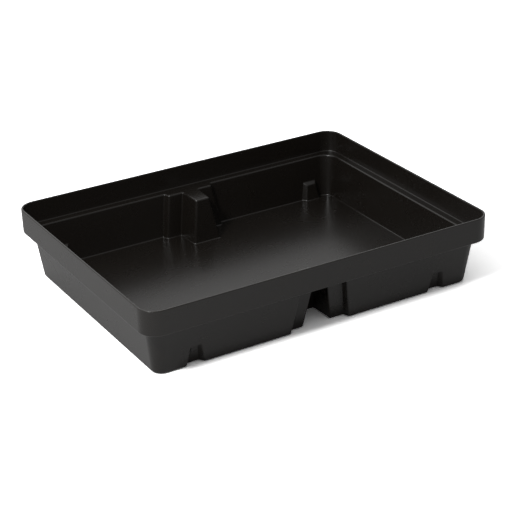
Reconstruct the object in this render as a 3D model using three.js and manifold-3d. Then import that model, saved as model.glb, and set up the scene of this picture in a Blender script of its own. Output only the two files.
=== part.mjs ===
// Spill tray: a one-piece moulded polyethylene sump, 800 x 600 x 155 mm, about 60 litres.
// Millimetres, +Z up, origin at the middle of the underside. X runs along the long side,
// -Y is the front. The wall is one even skin, so each recess outside is a bump inside.

import * as THREE from "three";
import * as BufferGeometryUtils from "three/addons/utils/BufferGeometryUtils.js";
import Module from "manifold-3d";

// ---- Overall sizes ----------------------------------------------------------------------
const LENGTH = 800;
const WIDTH = 600;
const HEIGHT = 155;
const WALL = 4.5;
const RIM_ROUND = 1.2; // edge radius on the top of the rim

// ---- Collar: the upright band round the top, and the ledge under it ---------------------
const COLLAR_HEIGHT = 54;
const COLLAR_CORNER = 38;
const COLLAR_DRAFT = 0.8; // how far the collar leans in over its height
const COLLAR_EDGE = 3; // rounding of its lower outside edge
const LEDGE_STEP = 18.2; // from the collar's foot in to the top of the lower wall

// ---- Lower body: tapers from the ledge to the base --------------------------------------
const BODY_CORNER_TOP = 30;
const BODY_CORNER_BASE = 22;
const BODY_TAPER_X = 13; // how far each end wall leans in
const BODY_TAPER_Y = 16; // how far each long wall leans in
const BASE_EDGE = 5; // rounding of the outside bottom edge

// ---- Floor: the sheet stands clear of the ground on a foot round the edge ---------------
const FLOOR_CLEARANCE = 5;
const FLOOR_THICKNESS = 5;
const FLOOR_FILLET = 4; // between floor and walls, inside
const FOOT_WIDTH = 24;

// ---- Recesses in the long walls ---------------------------------------------------------
// Each is open to the ground, narrows upwards and has a level roof. depth is measured
// square to the long wall, and flank is how much narrower the back is on each side.
const CENTRE_RECESS = {
  depthTop: 13.5,
  depthBase: 13.5,
  halfTop: 52.5,
  halfBase: 69,
  flank: 4.5,
};
const POCKET = {
  depthTop: 70.5,
  depthBase: 72,
  halfTop: 15.5,
  halfBase: 32.5,
  flank: 3,
};
const LUG_RECESS = {
  depthTop: 8,
  depthBase: 11,
  halfTop: 12.8,
  halfBase: 20,
  flank: 7,
};
const LUG_HEIGHT = 43;
const LUG_FRONT_OFFSET = 284; // from the tray's middle to each lug in the front wall
const LUG_BACK_OFFSET = 317; // the same in the back wall

// ---- Facets -----------------------------------------------------------------------------
const CORNER_STEPS = 8;
const EDGE_STEPS = 4;
const CLEAR = 1; // how far a cutter runs past the face it opens

// ---- Heights and insets that follow from the sizes above --------------------------------
const collarFoot = HEIGHT - COLLAR_HEIGHT;
const ledgeTop = collarFoot + WALL;
const floorTop = FLOOR_CLEARANCE + FLOOR_THICKNESS;
const bodyInset = COLLAR_DRAFT + LEDGE_STEP;

// How far each wall of the lower body stands in from the rim, at height z.
function bodyInsetAt(z) {
  const down = (collarFoot - z) / collarFoot;
  return {
    x: bodyInset + BODY_TAPER_X * down,
    y: bodyInset + BODY_TAPER_Y * down,
    corner: BODY_CORNER_TOP + (BODY_CORNER_BASE - BODY_CORNER_TOP) * down,
  };
}

// One level of a loft: a rounded rectangle in plan, inset from the rim, at height z.
function level(z, insetX, insetY, corner) {
  return {
    z,
    points: roundedRectangle(LENGTH / 2 - insetX, WIDTH / 2 - insetY, corner),
  };
}

function roundedRectangle(halfX, halfY, radius) {
  const points = [];
  for (let quarter = 0; quarter < 4; quarter++) {
    const signX = quarter === 0 || quarter === 3 ? 1 : -1;
    const signY = quarter < 2 ? 1 : -1;
    for (let step = 0; step <= CORNER_STEPS; step++) {
      const angle = ((quarter + step / CORNER_STEPS) * Math.PI) / 2;
      points.push([
        signX * (halfX - radius) + radius * Math.cos(angle),
        signY * (halfY - radius) + radius * Math.sin(angle),
      ]);
    }
  }
  return points;
}

// A closed skin through levels that go up, each with the same number of points.
function loft(levels) {
  const count = levels[0].points.length;
  const positions = levels.flatMap(({ z, points }) => points.flatMap(([x, y]) => [x, y, z]));
  const indices = [];
  for (let row = 0; row < levels.length - 1; row++) {
    for (let i = 0; i < count; i++) {
      const a = row * count + i;
      const b = row * count + ((i + 1) % count);
      indices.push(a, b, b + count, a, b + count, a + count);
    }
  }
  const flat = levels[0].points.map(([x, y]) => new THREE.Vector2(x, y));
  const last = (levels.length - 1) * count;
  const roof = levels.at(-1).points.map(([x, y]) => new THREE.Vector2(x, y));
  for (const [a, b, c] of THREE.ShapeUtils.triangulateShape(flat, [])) {
    indices.push(a, c, b);
  }
  for (const [a, b, c] of THREE.ShapeUtils.triangulateShape(roof, [])) {
    indices.push(last + a, last + b, last + c);
  }
  const geometry = new THREE.BufferGeometry();
  geometry.setAttribute("position", new THREE.Float32BufferAttribute(positions, 3));
  geometry.setIndex(indices);
  return geometry;
}

// ---- Solids -----------------------------------------------------------------------------
const wasm = await Module();
wasm.setup();

function solid(geometry) {
  const merged = BufferGeometryUtils.mergeVertices(geometry, 1e-4);
  return new wasm.Manifold(
    new wasm.Mesh({
      numProp: 3,
      vertProperties: new Float32Array(merged.attributes.position.array),
      triVerts: new Uint32Array(merged.index.array),
    }),
  );
}

// Quarter-round steps: how far in and how far up an edge of this radius is at each step.
function quarterRound(radius) {
  return Array.from({ length: EDGE_STEPS + 1 }, (_, step) => {
    const angle = ((step / EDGE_STEPS) * Math.PI) / 2;
    return { inset: radius * (1 - Math.sin(angle)), rise: radius * (1 - Math.cos(angle)) };
  });
}

// The tray's outside, as if it were a solid block without recesses.
function outsideBlock() {
  const levels = [];
  for (const { inset, rise } of quarterRound(BASE_EDGE)) {
    const at = bodyInsetAt(rise);
    levels.push(level(rise, at.x + inset, at.y + inset, at.corner - inset));
  }
  const top = bodyInsetAt(collarFoot);
  levels.push(level(collarFoot, top.x, top.y, top.corner));
  for (const { inset, rise } of quarterRound(COLLAR_EDGE)) {
    const lean = COLLAR_DRAFT * (1 - rise / COLLAR_HEIGHT);
    levels.push(level(collarFoot + rise, lean + inset, lean + inset, COLLAR_CORNER - inset));
  }
  levels.push(level(HEIGHT - RIM_ROUND, 0, 0, COLLAR_CORNER));
  levels.push(level(HEIGHT, RIM_ROUND, RIM_ROUND, COLLAR_CORNER - RIM_ROUND));
  return solid(loft(levels));
}

// The space inside, as if there were no bumps: the outside moved in by the wall.
function insideSpace() {
  const levels = [];
  for (const { inset, rise } of quarterRound(FLOOR_FILLET)) {
    const at = bodyInsetAt(floorTop + rise);
    const total = WALL + inset;
    levels.push(level(floorTop + rise, at.x + total, at.y + total, at.corner - inset / 2));
  }
  const top = bodyInsetAt(ledgeTop);
  levels.push(level(ledgeTop, top.x + WALL, top.y + WALL, top.corner));
  const lean = COLLAR_DRAFT;
  levels.push(level(ledgeTop, lean + WALL, lean + WALL, COLLAR_CORNER - WALL));
  levels.push(level(HEIGHT - RIM_ROUND, WALL, WALL, COLLAR_CORNER - WALL));
  const mouth = WALL - RIM_ROUND;
  levels.push(level(HEIGHT, mouth, mouth, COLLAR_CORNER - mouth));
  levels.push(level(HEIGHT + CLEAR, mouth, mouth, COLLAR_CORNER - mouth));
  return solid(loft(levels));
}

// Where the outside of a long wall stands from the tray's middle, at height z.
const longWallAt = (z) => WIDTH / 2 - bodyInsetAt(z).y;

// The space of one recess in a long wall, as a block that starts outside the wall. side is
// -1 at the front and 1 at the back. grow 0 is the recess as it is cut outside; grow WALL
// is one wall larger all round, which is the bump that the recess makes inside.
function recess(side, centre, height, size, grow) {
  const outline = (z) => {
    const share = z / height;
    const depth = size.depthBase + (size.depthTop - size.depthBase) * share;
    const mouthHalf = size.halfBase + (size.halfTop - size.halfBase) * share + grow;
    const backHalf = mouthHalf - size.flank;
    const wallY = longWallAt(z);
    const backY = wallY - depth - grow;
    const startY = WIDTH / 2 + CLEAR;
    const startHalf = mouthHalf + (size.flank / depth) * (startY - wallY);
    const points = [
      [centre - backHalf, side * backY],
      [centre + backHalf, side * backY],
      [centre + startHalf, side * startY],
      [centre - startHalf, side * startY],
    ];
    return { z, points: side > 0 ? points : points.reverse() };
  };
  return solid(loft([outline(-CLEAR), outline(height + grow)]));
}

function allRecesses(grow) {
  const parts = [
    recess(-1, -LUG_FRONT_OFFSET, LUG_HEIGHT, LUG_RECESS, grow),
    recess(-1, LUG_FRONT_OFFSET, LUG_HEIGHT, LUG_RECESS, grow),
    recess(1, -LUG_BACK_OFFSET, LUG_HEIGHT, LUG_RECESS, grow),
    recess(1, LUG_BACK_OFFSET, LUG_HEIGHT, LUG_RECESS, grow),
  ];
  for (const side of [-1, 1]) {
    parts.push(recess(side, 0, collarFoot, CENTRE_RECESS, grow));
    parts.push(recess(side, 0, collarFoot, POCKET, grow));
  }
  return parts.reduce((sum, part) => sum.add(part));
}

// The hollow under the floor: it leaves a foot round the walls and round every recess.
function underFloor() {
  const at = bodyInsetAt(0);
  const foot = WALL + FOOT_WIDTH;
  const panel = solid(
    loft([
      level(-CLEAR, at.x + foot, at.y + foot, at.corner),
      level(FLOOR_CLEARANCE, at.x + foot + WALL, at.y + foot + WALL, at.corner),
    ]),
  );
  return panel.subtract(allRecesses(foot));
}

function trayGeometry() {
  const space = insideSpace().subtract(allRecesses(WALL));
  const tray = outsideBlock().subtract(allRecesses(0)).subtract(space).subtract(underFloor());
  const mesh = tray.getMesh();
  const geometry = new THREE.BufferGeometry();
  geometry.setAttribute("position", new THREE.BufferAttribute(mesh.vertProperties, 3));
  geometry.setIndex(new THREE.BufferAttribute(mesh.triVerts, 1));
  geometry.computeVertexNormals();
  return geometry;
}

// ---- The object -------------------------------------------------------------------------
const blackPolyethylene = new THREE.MeshStandardMaterial({
  name: "black_polyethylene",
  color: 0x16161a,
  roughness: 0.38,
  metalness: 0,
});

const tray = new THREE.Mesh(trayGeometry(), blackPolyethylene);
tray.name = "spill_tray";

const object = new THREE.Group();
object.name = "spill_containment_tray";
object.add(tray);

export default object;
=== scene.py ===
"""A moulded spill tray: the skin as one closed mesh, its satin plastic and a plain studio."""

import math

import bmesh
import bpy
from mathutils import Matrix, Vector


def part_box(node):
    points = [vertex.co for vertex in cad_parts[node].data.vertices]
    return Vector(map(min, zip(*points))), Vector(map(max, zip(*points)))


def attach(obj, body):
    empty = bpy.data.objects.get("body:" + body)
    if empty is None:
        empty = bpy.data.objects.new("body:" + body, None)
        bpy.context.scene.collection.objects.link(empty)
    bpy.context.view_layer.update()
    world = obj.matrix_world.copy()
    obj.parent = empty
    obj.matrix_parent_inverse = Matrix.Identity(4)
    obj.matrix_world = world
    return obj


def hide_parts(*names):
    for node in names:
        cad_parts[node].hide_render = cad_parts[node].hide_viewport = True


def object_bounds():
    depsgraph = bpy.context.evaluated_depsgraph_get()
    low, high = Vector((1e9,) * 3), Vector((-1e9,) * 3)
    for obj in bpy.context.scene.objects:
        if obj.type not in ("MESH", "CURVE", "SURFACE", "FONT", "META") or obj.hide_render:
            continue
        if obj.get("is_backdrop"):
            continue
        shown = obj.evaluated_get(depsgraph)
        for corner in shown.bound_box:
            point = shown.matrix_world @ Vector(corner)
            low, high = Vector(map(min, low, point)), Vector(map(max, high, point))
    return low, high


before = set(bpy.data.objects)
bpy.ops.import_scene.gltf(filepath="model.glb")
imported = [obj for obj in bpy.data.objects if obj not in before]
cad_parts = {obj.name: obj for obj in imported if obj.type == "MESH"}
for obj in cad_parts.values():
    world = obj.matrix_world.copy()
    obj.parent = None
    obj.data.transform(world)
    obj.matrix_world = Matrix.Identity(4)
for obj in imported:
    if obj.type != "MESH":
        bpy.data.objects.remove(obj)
cad_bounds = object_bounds()
tray_low, tray_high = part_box("spill_tray")

bl_info = {
    "name": "Spill tray",
    "version": (1, 0, 0),
    "blender": (4, 5, 0),
    "location": "3D View > Sidebar > Spill tray",
    "description": "Builds a one-piece moulded spill tray and a plain studio round it",
    "category": "Object",
}

MM = 0.001


# ---- Settings ---------------------------------------------------------------------------
def distance(name, description, default_mm):
    """A length setting, kept in metres and given in millimetres."""
    return bpy.props.FloatProperty(
        name=name,
        description=description,
        default=default_mm * MM,
        min=0.0,
        unit="LENGTH",
        subtype="DISTANCE",
        precision=4,
    )


class TrayShape(bpy.types.PropertyGroup):
    """Sizes of the tray that the frame's box doesn't give."""

    wall: distance("Wall", "Thickness of the moulded skin", 4.5)
    collar_height: distance("Collar height", "Height of the upright band at the top", 54)
    collar_corner: distance("Collar corner", "Corner radius of the collar in plan", 38)
    collar_lean: distance("Collar lean", "How far the collar leans in at its foot", 0.8)
    collar_edge: distance("Collar edge", "Rounding of the collar's lower outside edge", 3)
    ledge: distance("Ledge", "Width of the ledge under the collar", 18.2)
    corner_top: distance("Corner at the ledge", "Corner radius of the lower body", 30)
    corner_base: distance("Corner at the base", "Corner radius of the base", 22)
    lean_x: distance("End lean", "How far each end wall leans in", 13)
    lean_y: distance("Side lean", "How far each long wall leans in", 16)
    base_edge: distance("Base edge", "Rounding of the outside bottom edge", 5)
    clearance: distance("Clearance", "Height of the floor's underside", 5)
    floor: distance("Floor", "Thickness of the floor", 5)
    floor_fillet: distance("Floor fillet", "Rounding between floor and walls", 2.2)
    foot: distance("Foot", "Width of the foot round the base", 24)
    lug_height: distance("Lug height", "Height of the small recesses", 43)
    lug_front: distance("Front lug place", "From the middle to a front lug", 284)
    lug_back: distance("Back lug place", "From the middle to a back lug", 317)


# Half widths and depths of each recess as (at the base, at the ledge or the lug's top).
# spread is how much wider the bump inside is on each side, at its root.
CENTRE_RECESS = {
    "half": (69.0, 52.5),
    "depth": (13.5, 13.5),
    "flank": 5.0,
    "edge": 3.2,
    "spread": 6.5,
}
POCKET = {
    "half": (32.5, 15.5),
    "depth": (72.0, 70.5),
    "flank": 2.5,
    "edge": 3.2,
    "spread": 4.5,
}
LUG = {
    "half": (20.0, 12.8),
    "depth": (11.0, 8.0),
    "flank": 7.0,
    "edge": 2.8,
    "spread": 5.5,
}

# Roundings of the collar and the ledge.
RIM_ROUND = 1.6 * MM
COLLAR_FOOT_FILLET = 2 * MM
LEDGE_EDGE = 2.8 * MM
UNDER_LEDGE_FILLET = 3 * MM

# Where a lug's sloping roof starts and ends, from the lug's height, and how far its face
# below the roof and the wall above it run before the next row.
LUG_ROOF_OUTSIDE = (-2.5 * MM, 1.5 * MM)
LUG_ROOF_INSIDE = (2.5 * MM, 8 * MM)
LUG_FACE_RUN = 8 * MM
LUG_WALL_RUN = 6 * MM
LUG_TAPER_END = 1.2  # a lug stops narrowing at this many times its height
LEAST_FLANK = 2 * MM  # the flank left where a recess has run out into the wall

# The hollow under the floor: the roundings at its mouth and at its roof.
HOLLOW_MOUTH_ROUND = 0.8 * MM
HOLLOW_ROOF_ROUND = 1.5 * MM
HOLLOW_STEPS = 3

SUPPORT = 0.5 * MM  # a narrow strip beside each rounding keeps the flat faces' shading flat
MOST_OF_A_SIDE = 0.96  # the roundings at a side's two ends never use up more than this
CORNER_STEPS = 5
PLAN_STEPS = 10
COLLAR_STEPS = 12
EDGE_STEPS = 5


# ---- Plan outlines ----------------------------------------------------------------------
def between(ends, share):
    return ends[0] + (ends[1] - ends[0]) * share


def rounded(corners, closed=True):
    """Points along a line of corners (place, radius, steps), each corner made an arc."""
    count = len(corners)
    turns = []
    for i, (place, radius, steps) in enumerate(corners):
        if not closed and i in (0, count - 1):
            turns.append(None)
            continue
        before = (place - corners[i - 1][0]).normalized()
        after = (corners[(i + 1) % count][0] - place).normalized()
        half_turn = math.acos(max(-1.0, min(1.0, before.dot(after)))) / 2
        reach = max(radius * math.tan(half_turn), SUPPORT / 2) + SUPPORT
        turns.append([before, after, math.cos(half_turn), reach, 1.0])
    for i in range(count if closed else count - 1):
        one, two = turns[i], turns[(i + 1) % count]
        length = (corners[(i + 1) % count][0] - corners[i][0]).length
        wanted = (one[3] if one else 0) + (two[3] if two else 0)
        for turn in (one, two):
            if turn:
                turn[4] = min(turn[4], MOST_OF_A_SIDE * length / wanted)
    points = []
    for (place, _, steps), turn in zip(corners, turns):
        if turn is None:
            points.append(place)
            continue
        before, after, weight, reach, fit = turn
        reach, strip = reach * fit, SUPPORT * fit
        start, end = place - before * (reach - strip), place + after * (reach - strip)
        points.append(place - before * reach)
        for step in range(steps + 1):
            u = step / steps
            a, b, c = (1 - u) ** 2, 2 * u * (1 - u) * weight, u**2
            points.append((start * a + place * b + end * c) / (a + b + c))
        points.append(place + after * reach)
    return points


def inset(corners, amount):
    """The corners of the outline moved in by amount, or out where it is negative."""
    moved = []
    for i, (place, radius, steps) in enumerate(corners):
        before = (place - corners[i - 1][0]).normalized()
        after = (corners[(i + 1) % len(corners)][0] - place).normalized()
        inward = Vector((-before.y - after.y, before.x + after.x)).normalized()
        across = inward.dot(Vector((-before.y, before.x)))
        turns_in = before.x * after.y - before.y * after.x > 0
        left = radius - amount if turns_in else radius + amount
        moved.append((place + inward * (amount / across), max(left, 0.0), steps))
    return moved


class Body:
    """The lower body's outline at a height, outside or one wall further in."""

    def __init__(self, shape, wall):
        self.shape = shape
        self.wall = wall
        self.top = tray_high.z - shape.collar_height

    def notch(self, centre, size, share, plane, inner_edge, depth_share=1.0):
        """One recess as four corners, from left to right, in a wall that faces -Y."""
        wall, depth = self.wall, between(size["depth"], share) * MM
        flank, half = size["flank"] * MM, between(size["half"], share) * MM
        if wall:
            half += size["spread"] * MM
        mouth = half - flank / depth * inner_edge
        back = half - max(flank * depth_share, LEAST_FLANK)
        front_y, back_y = plane + wall + inner_edge, plane + wall + depth * depth_share
        edge = size["edge"] * MM
        return [
            (Vector((centre - mouth, front_y)), edge, CORNER_STEPS),
            (Vector((centre - back, back_y)), edge + wall / 2, CORNER_STEPS),
            (Vector((centre + back, back_y)), edge + wall / 2, CORNER_STEPS),
            (Vector((centre + mouth, front_y)), edge, CORNER_STEPS),
        ]

    def corners(self, z, lug_depth=1.0, lugs=True):
        shape = self.shape
        share = z / self.top
        foot = shape.collar_lean + shape.ledge
        half_x = tray_high.x - foot - shape.lean_x * (1 - share)
        half_y = tray_high.y - foot - shape.lean_y * (1 - share)
        corner = between((shape.corner_base, shape.corner_top), share)
        lug_share = min(z / shape.lug_height, LUG_TAPER_END)
        outline = []
        for side, lug_place in ((1, shape.lug_front), (-1, shape.lug_back)):
            long_wall = [
                (Vector((-half_x + self.wall, -half_y + self.wall)), corner, PLAN_STEPS)
            ]
            step = self.notch(0, CENTRE_RECESS, share, -half_y, 0)
            recess_depth = between(CENTRE_RECESS["depth"], share) * MM
            pocket = self.notch(0, POCKET, share, -half_y, recess_depth)
            pocket[1:3] = self.notch(0, POCKET, share, -half_y, 0)[1:3]
            centre = step[:2] + pocket + step[2:]
            left, right = [], []
            if lugs:
                left = self.notch(-lug_place, LUG, lug_share, -half_y, 0, lug_depth)
                right = self.notch(lug_place, LUG, lug_share, -half_y, 0, lug_depth)
            long_wall += left + centre + right
            long_wall.append(
                (Vector((half_x - self.wall, -half_y + self.wall)), corner, PLAN_STEPS)
            )
            outline += [(place * side, radius, steps) for place, radius, steps in long_wall]
        return outline

    def lug_levels(self, roof):
        """Heights and depth shares up a lug: its face, its sloping roof and the wall."""
        deep = LUG["depth"][1] * MM
        edge = LUG["edge"] * MM * (1.0 if self.wall else 0.5)
        low, high = roof
        line = [
            (Vector((deep, low - LUG_FACE_RUN)), 0, 1),
            (Vector((deep, low)), edge, CORNER_STEPS),
            (Vector((0, high)), edge, CORNER_STEPS),
            (Vector((0, high + LUG_WALL_RUN)), 0, 1),
        ]
        return [(point.y, point.x / deep) for point in rounded(line, closed=False)]


# ---- The skin ---------------------------------------------------------------------------
def first_loop(mesh, points, z):
    circle = bmesh.ops.create_circle(mesh, cap_ends=False, segments=len(points), radius=1)
    loop = circle["verts"]
    for vert, point in zip(loop, points):
        vert.co = (point.x, point.y, z)
    return loop


def next_loop(mesh, loop, points, z):
    """Extrudes a loop and lays the new one on the given outline."""
    edges = loop_edges(mesh, loop)
    new = bmesh.ops.extrude_edge_only(mesh, edges=edges)["geom"]
    new = {item for item in new if isinstance(item, bmesh.types.BMVert)}
    above = []
    for vert, point in zip(loop, points):
        twin = next(e.other_vert(vert) for e in vert.link_edges if e.other_vert(vert) in new)
        above.append((twin, point))
    for twin, point in above:
        twin.co = (point.x, point.y, z)
    return [twin for twin, _ in above]


def loop_edges(mesh, loop):
    return [mesh.edges.get((loop[i - 1], loop[i])) for i in range(len(loop))]


def skin(mesh, rows):
    """A wall through rows of (outline, height). Gives its first and its last loop."""
    (points, z), *others = rows
    first = loop = first_loop(mesh, points, z)
    for points, z in others:
        loop = next_loop(mesh, loop, points, z)
    return first, loop


def fill(mesh, *loops):
    edges = [edge for loop in loops for edge in loop_edges(mesh, loop)]
    bmesh.ops.triangle_fill(mesh, use_beauty=True, use_dissolve=False, edges=edges)


def quarter(radius):
    """(across, along) from the start of a rounding, where it lies flat, to its end."""
    for step in range(EDGE_STEPS + 1):
        angle = math.pi / 2 * step / EDGE_STEPS
        yield radius * (1 - math.sin(angle)), radius * (1 - math.cos(angle))


def body_rows(shape, wall, base, base_edge, roof, top_z, top_edge):
    """The lower body's wall from the floor up to the ledge."""
    body = Body(shape, wall)

    def row(z, amount=0.0, lug_depth=1.0):
        return rounded(inset(body.corners(z, lug_depth), amount)), z

    rows = [row(base, base_edge + SUPPORT)]
    rows += [row(base + rise, amount) for amount, rise in quarter(base_edge)]
    rows.append(row(base + base_edge + SUPPORT))
    rows += [row(z, 0.0, depth) for z, depth in body.lug_levels(roof)]
    rows.append(row(top_z - top_edge - SUPPORT, 0.0, 0.0))
    for amount, rise in reversed(list(quarter(top_edge))):
        rows.append(row(top_z - rise, -amount, 0.0))
    rows.append(row(top_z, -top_edge - SUPPORT, 0.0))
    return rows


def collar_outline(shape, amount):
    half_x, half_y = tray_high.x - amount, tray_high.y - amount
    radius = shape.collar_corner - amount
    signs = ((-1, -1), (1, -1), (1, 1), (-1, 1))
    return rounded([(Vector((half_x * x, half_y * y)), radius, COLLAR_STEPS) for x, y in signs])


def collar_rows(shape, foot, ledge):
    """The collar from its foot up, over the rim and down inside to the ledge."""
    top = tray_high.z

    def row(z, amount):
        lean = shape.collar_lean * (top - z) / (top - foot)
        return collar_outline(shape, amount + lean), z

    wall, edge, rim, fillet = shape.wall, shape.collar_edge, RIM_ROUND, COLLAR_FOOT_FILLET
    rows = [row(foot, edge + SUPPORT)]
    rows += [row(foot + rise, amount) for amount, rise in quarter(edge)]
    rows += [row(foot + edge + SUPPORT, 0), row(top - rim - SUPPORT, 0)]
    rows += [row(top - rise, amount) for amount, rise in reversed(list(quarter(rim)))]
    rows += [row(top - rise, wall - amount) for amount, rise in quarter(rim)]
    rows += [row(top - rim - SUPPORT, wall), row(ledge + fillet + SUPPORT, wall)]
    for amount, rise in reversed(list(quarter(fillet))):
        rows.append(row(ledge + rise, wall + amount))
    rows.append(row(ledge, wall + fillet + SUPPORT))
    return rows


def hollow_rows(shape):
    """The edge of the hollow under the floor, from the foot up to the floor's underside."""
    body = Body(shape, 0.0)
    step = shape.clearance
    line = [
        (Vector((-2 * MM, 0)), 0, 1),
        (Vector((0, 0)), HOLLOW_MOUTH_ROUND, HOLLOW_STEPS),
        (Vector((shape.wall, step)), HOLLOW_ROOF_ROUND, HOLLOW_STEPS),
        (Vector((shape.wall + 3 * MM, step)), 0, 1),
    ]
    start = shape.foot + shape.wall
    for point in rounded(line, closed=False):
        corners = body.corners(0.0, lugs=False)
        yield rounded(inset(corners, start + point.x)), point.y


def make_tray(shape):
    mesh = bmesh.new()
    foot = tray_high.z - shape.collar_height
    ledge = foot + shape.wall
    floor_top = shape.clearance + shape.floor

    roof = [shape.lug_height + rise for rise in LUG_ROOF_OUTSIDE]
    outside = body_rows(shape, 0.0, 0.0, shape.base_edge, roof, foot, UNDER_LEDGE_FILLET)
    roof = [shape.lug_height + rise for rise in LUG_ROOF_INSIDE]
    inside = body_rows(
        shape, shape.wall, floor_top, shape.floor_fillet, roof, ledge, LEDGE_EDGE
    )
    base, under_ledge = skin(mesh, outside)
    floor_edge, ledge_edge = skin(mesh, inside)
    collar_foot, collar_inside = skin(mesh, collar_rows(shape, foot, ledge))
    hollow_edge, hollow_top = skin(mesh, list(hollow_rows(shape)))

    fill(mesh, under_ledge, collar_foot)
    fill(mesh, collar_inside, ledge_edge)
    fill(mesh, floor_edge)
    fill(mesh, base, hollow_edge)
    fill(mesh, hollow_top)
    bmesh.ops.recalc_face_normals(mesh, faces=mesh.faces)
    for face in mesh.faces:
        face.smooth = True
    open_edges = [edge for edge in mesh.edges if not edge.is_manifold]
    if open_edges:
        raise RuntimeError(f"the tray's skin has {len(open_edges)} open edges")
    data = bpy.data.meshes.new("spill_tray_skin")
    mesh.to_mesh(data)
    mesh.free()
    tray = bpy.data.objects.new("spill_tray_skin", data)
    bpy.context.collection.objects.link(tray)
    return tray


# ---- Shader maths -----------------------------------------------------------------------
class Value:
    """A socket that takes part in sums. Each operator adds the node that works it out."""

    def __init__(self, tree, socket):
        self.tree = tree
        self.socket = socket

    def node(self, kind, settings=None, **inputs):
        made = self.tree.nodes.new(kind)
        for name, setting in (settings or {}).items():
            setattr(made, name, setting)
        for name, value in inputs.items():
            name = int(name[1:]) if name[0] == "_" else name
            socket = made.inputs[name]
            if isinstance(value, Value):
                self.tree.links.new(value.socket, socket)
            else:
                socket.default_value = value
        return made

    def math(self, operation, *values):
        inputs = {f"_{i}": value for i, value in enumerate(values)}
        made = self.node("ShaderNodeMath", {"operation": operation}, **inputs)
        return Value(self.tree, made.outputs[0])

    def __add__(self, other):
        return self.math("ADD", self, other)

    def __radd__(self, other):
        return self.math("ADD", other, self)

    def __sub__(self, other):
        return self.math("SUBTRACT", self, other)

    def __rsub__(self, other):
        return self.math("SUBTRACT", other, self)

    def __mul__(self, other):
        return self.math("MULTIPLY", self, other)

    def __rmul__(self, other):
        return self.math("MULTIPLY", other, self)

    def along(self, direction):
        """How far this vector reaches along a direction."""
        made = self.node(
            "ShaderNodeVectorMath", {"operation": "DOT_PRODUCT"}, _0=self, _1=direction
        )
        return Value(self.tree, made.outputs["Value"])

    def smooth(self, low, high):
        """0 below low, 1 above high, and eased between them."""
        made = self.node(
            "ShaderNodeMapRange",
            {"interpolation_type": "SMOOTHSTEP"},
            **{"Value": self, "From Min": low, "From Max": high},
        )
        return Value(self.tree, made.outputs["Result"])


def new_material(name):
    material = bpy.data.materials.new(name)
    material.use_nodes = True
    tree = material.node_tree
    tree.nodes.clear()
    return material, tree


# Sizes of the patterns on the plastic, as noise scales, and the heights that they stand out.
GRAIN_SCALE = 1400.0
PATCH_SCALE = 9.0
FLOW_SCALE = 3.0
SCUFF_SCALE = 45.0
SCUFF_RANGE = (0.58, 0.85)
GRAIN_HEIGHT = 0.05 * MM
WAVE_HEIGHT = 1.5 * MM


def black_polyethylene(look):
    """Satin black polyethylene: a fine moulded grain, soft flow marks and light scuffs."""
    material, tree = new_material("black_polyethylene")
    coordinates = tree.nodes.new("ShaderNodeTexCoord").outputs["Object"]
    place = Value(tree, coordinates)

    def noise(scale, detail, roughness=0.5, stretch=(1.0, 1.0, 1.0)):
        source = place
        if stretch != (1.0, 1.0, 1.0):
            mapped = place.node("ShaderNodeMapping", Vector=place, Scale=stretch)
            source = Value(tree, mapped.outputs["Vector"])
        made = place.node(
            "ShaderNodeTexNoise",
            Vector=source,
            Scale=scale,
            Detail=detail,
            Roughness=roughness,
        )
        return Value(tree, made.outputs["Fac"])

    grain = noise(GRAIN_SCALE, 2.0)
    patches = noise(PATCH_SCALE, 3.0)
    flow = noise(FLOW_SCALE, 0.0, stretch=(1.0, 2.2, 1.0))
    scuffs = noise(SCUFF_SCALE, 3.0, 0.6, stretch=(0.3, 1.4, 1.0)).smooth(*SCUFF_RANGE)

    shade = 0.92 + 0.16 * patches
    tint = place.node(
        "ShaderNodeMix",
        {"data_type": "RGBA"},
        _0=shade,
        _6=(0.0, 0.0, 0.0, 1.0),
        _7=(*look.colour, 1.0),
    )
    roughness = look.roughness + 0.05 * (patches - 0.5) + 0.02 * scuffs
    waves = place.node(
        "ShaderNodeBump", Strength=look.waviness, Distance=WAVE_HEIGHT, Height=flow
    )
    bump = place.node(
        "ShaderNodeBump",
        Strength=look.grain,
        Distance=GRAIN_HEIGHT,
        Height=grain,
        Normal=Value(tree, waves.outputs["Normal"]),
    )
    shader = place.node(
        "ShaderNodeBsdfPrincipled",
        **{
            "Base Color": Value(tree, tint.outputs[2]),
            "Roughness": roughness,
            "Normal": Value(tree, bump.outputs["Normal"]),
            "IOR": look.ior,
        },
    )
    place.node("ShaderNodeOutputMaterial", Surface=Value(tree, shader.outputs[0]))
    return material


class TrayLook(bpy.types.PropertyGroup):
    """The finish of the plastic."""

    colour: bpy.props.FloatVectorProperty(
        name="Colour",
        description="Colour of the plastic",
        subtype="COLOR",
        size=3,
        min=0.0,
        max=1.0,
        default=(0.0084, 0.0068, 0.0054),
    )
    roughness: bpy.props.FloatProperty(
        name="Roughness",
        description="How wide the sheen spreads",
        default=0.27,
        min=0.0,
        max=1.0,
        subtype="FACTOR",
    )
    ior: bpy.props.FloatProperty(
        name="IOR", description="Index of refraction", default=1.5, min=1.0, max=2.5
    )
    grain: bpy.props.FloatProperty(
        name="Grain",
        description="Strength of the fine moulded grain",
        default=0.12,
        min=0.0,
        max=1.0,
        subtype="FACTOR",
    )
    waviness: bpy.props.FloatProperty(
        name="Waviness",
        description="Strength of the soft waves in the broad faces",
        default=0.12,
        min=0.0,
        max=1.0,
        subtype="FACTOR",
    )


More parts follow.
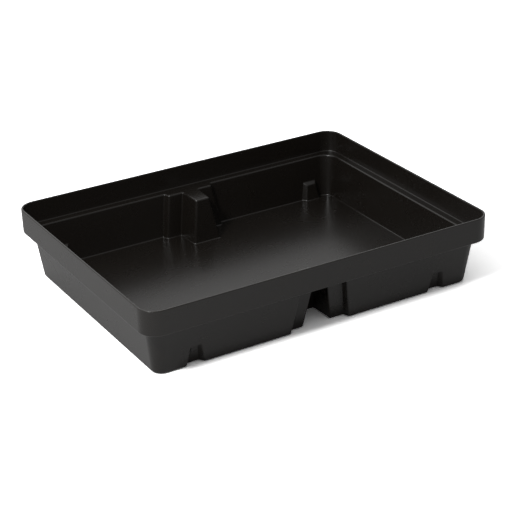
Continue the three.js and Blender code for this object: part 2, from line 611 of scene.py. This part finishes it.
class StudioLook(bpy.types.PropertyGroup):
    """The light, the floor and the camera."""

    sky_back: bpy.props.FloatProperty(
        name="Back light", description="Light from behind the tray", default=0.92, min=0.0
    )
    sky_front: bpy.props.FloatProperty(
        name="Front light",
        description="Light from the camera's side and from above",
        default=0.33,
        min=0.0,
    )
    key_power: bpy.props.FloatProperty(
        name="Key light",
        description="Power of the lamp on the left",
        default=31.0,
        min=0.0,
        unit="POWER",
    )
    floor_shade: bpy.props.FloatProperty(
        name="Floor shade",
        description="How pale the floor is",
        default=0.57,
        min=0.0,
        max=1.0,
        subtype="FACTOR",
    )
    lift: bpy.props.FloatProperty(
        name="Floor lift",
        description="How many times brighter the camera sees the floor",
        default=3.8,
        min=0.0,
    )
    camera_turn: bpy.props.FloatProperty(
        name="Camera turn",
        description="How far the camera stands round to the tray's left",
        default=math.radians(30.29),
        subtype="ANGLE",
    )
    camera_height: bpy.props.FloatProperty(
        name="Camera height",
        description="Angle that the camera looks down at",
        default=math.radians(25.56),
        subtype="ANGLE",
    )
    camera_roll: bpy.props.FloatProperty(
        name="Camera roll",
        description="How far the camera is tipped about its line of sight",
        default=math.radians(-1.45),
        subtype="ANGLE",
    )
    lens: bpy.props.FloatProperty(
        name="Lens", description="Focal length in millimetres", default=111.96, min=1.0
    )


# ---- Operators --------------------------------------------------------------------------
class OBJECT_OT_spill_tray(bpy.types.Operator):
    """Add the moulded tray in satin black polyethylene"""

    bl_idname = "object.add_spill_tray"
    bl_label = "Spill Tray"
    bl_options = {"REGISTER", "UNDO"}

    def execute(self, context):
        tray = make_tray(context.scene.tray_shape)
        tray.data.materials.append(black_polyethylene(context.scene.tray_look))
        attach(tray, "root")
        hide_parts("spill_tray")
        return {"FINISHED"}


class OBJECT_OT_spill_tray_studio(bpy.types.Operator):
    """Add the pale floor, the soft lights and the camera"""

    bl_idname = "object.add_spill_tray_studio"
    bl_label = "Studio"
    bl_options = {"REGISTER", "UNDO"}

    def execute(self, context):
        studio = context.scene.studio_look
        make_floor(studio)
        make_lights(studio)
        make_camera(studio)
        return {"FINISHED"}


# ---- Studio -----------------------------------------------------------------------------
KEY_PLACE = Vector((-1.5, -0.65, 1.75))
KEY_AIM = Vector((0.0, 0.0, 0.1))
KEY_SIZE = (0.4, 0.34)
SKY_BRIGHT_WAY = (-0.45, 0.8, 0.2)  # the side of the sky that is brightest
SKY_FADE = (-0.3, 0.6)  # how far along that way the sky starts and stops brightening
CAMERA_TARGET = Vector((-0.01358, -0.03761, 0.07))
CAMERA_DISTANCE = 3.3015
FLOOR_HALF = 30.0
FLOOR_GAP = 0.0002  # keeps the floor just under the tray's foot


def make_floor(studio):
    mesh = bmesh.new()
    bmesh.ops.create_grid(mesh, x_segments=1, y_segments=1, size=FLOOR_HALF)
    data = bpy.data.meshes.new("studio_floor")
    mesh.to_mesh(data)
    mesh.free()
    floor = bpy.data.objects.new("studio_floor", data)
    bpy.context.collection.objects.link(floor)
    floor.location.z = tray_low.z - FLOOR_GAP
    material, tree = new_material("studio_floor")
    seen = Value(tree, tree.nodes.new("ShaderNodeLightPath").outputs["Is Camera Ray"])

    def paper(shade):
        made = seen.node("ShaderNodeBsdfDiffuse", Color=(shade, shade, shade, 1.0))
        return Value(tree, made.outputs[0])

    # The camera sees a brighter floor than the one that lights the tray.
    mixed = seen.node(
        "ShaderNodeMixShader",
        _0=seen,
        _1=paper(studio.floor_shade),
        _2=paper(studio.floor_shade * studio.lift),
    )
    seen.node("ShaderNodeOutputMaterial", Surface=Value(tree, mixed.outputs[0]))
    floor.data.materials.append(material)
    floor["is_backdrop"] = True


def make_lights(studio):
    world = bpy.data.worlds.new("studio")
    bpy.context.scene.world = world
    world.use_nodes = True
    tree = world.node_tree
    tree.nodes.clear()
    way = Value(tree, tree.nodes.new("ShaderNodeTexCoord").outputs["Generated"])
    behind = way.along(SKY_BRIGHT_WAY).smooth(*SKY_FADE)
    level = studio.sky_front + (studio.sky_back - studio.sky_front) * behind
    sky = way.node("ShaderNodeBackground", Color=(1.0, 1.0, 1.0, 1.0), Strength=level)
    way.node("ShaderNodeOutputWorld", Surface=Value(tree, sky.outputs[0]))
    lamp = bpy.data.lights.new("key_light", "AREA")
    lamp.shape = "RECTANGLE"
    lamp.size, lamp.size_y = KEY_SIZE
    lamp.energy = studio.key_power
    light = bpy.data.objects.new("key_light", lamp)
    bpy.context.collection.objects.link(light)
    light.location = KEY_PLACE
    light.rotation_euler = (KEY_AIM - KEY_PLACE).to_track_quat("-Z", "Y").to_euler()


def make_camera(studio):
    turn, height, roll = -studio.camera_turn, studio.camera_height, studio.camera_roll
    back = Vector(
        (
            math.sin(turn) * math.cos(height),
            -math.cos(turn) * math.cos(height),
            math.sin(height),
        )
    )
    right = (-back).cross(Vector((0, 0, 1))).normalized()
    up = right.cross(-back)
    across = right * math.cos(roll) + up * math.sin(roll)
    upward = up * math.cos(roll) - right * math.sin(roll)
    place = CAMERA_TARGET + back * CAMERA_DISTANCE
    camera = bpy.data.objects.new("camera", bpy.data.cameras.new("camera"))
    camera.data.lens = studio.lens
    camera.data.sensor_width = 36.0
    camera.data.clip_end = 200.0
    bpy.context.collection.objects.link(camera)
    turned = Matrix((across, upward, back)).transposed()
    camera.matrix_world = Matrix.Translation(place) @ turned.to_4x4()
    bpy.context.scene.camera = camera
    bpy.context.scene.view_settings.view_transform = "Standard"


class VIEW3D_PT_spill_tray(bpy.types.Panel):
    """The tray's pieces and their settings"""

    bl_label = "Spill tray"
    bl_idname = "VIEW3D_PT_spill_tray"
    bl_space_type = "VIEW_3D"
    bl_region_type = "UI"
    bl_category = "Spill tray"

    def draw(self, context):
        for operator, group in (
            (OBJECT_OT_spill_tray, context.scene.tray_shape),
            (None, context.scene.tray_look),
            (OBJECT_OT_spill_tray_studio, context.scene.studio_look),
        ):
            column = self.layout.column(align=True)
            for name in group.__annotations__:
                column.prop(group, name)
            if operator:
                column.operator(operator.bl_idname)


CLASSES = (
    TrayShape,
    TrayLook,
    StudioLook,
    OBJECT_OT_spill_tray,
    OBJECT_OT_spill_tray_studio,
    VIEW3D_PT_spill_tray,
)


def register():
    for cls in CLASSES:
        bpy.utils.register_class(cls)
    bpy.types.Scene.tray_shape = bpy.props.PointerProperty(type=TrayShape)
    bpy.types.Scene.tray_look = bpy.props.PointerProperty(type=TrayLook)
    bpy.types.Scene.studio_look = bpy.props.PointerProperty(type=StudioLook)


def unregister():
    del bpy.types.Scene.studio_look
    del bpy.types.Scene.tray_look
    del bpy.types.Scene.tray_shape
    for cls in reversed(CLASSES):
        bpy.utils.unregister_class(cls)


def main():
    register()
    bpy.ops.object.add_spill_tray()
    bpy.ops.object.add_spill_tray_studio()
    boxes = {"cad": cad_bounds, "visual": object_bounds()}
    plain = {name: [list(corner) for corner in box] for name, box in boxes.items()}


if __name__ == "__main__":
    main()
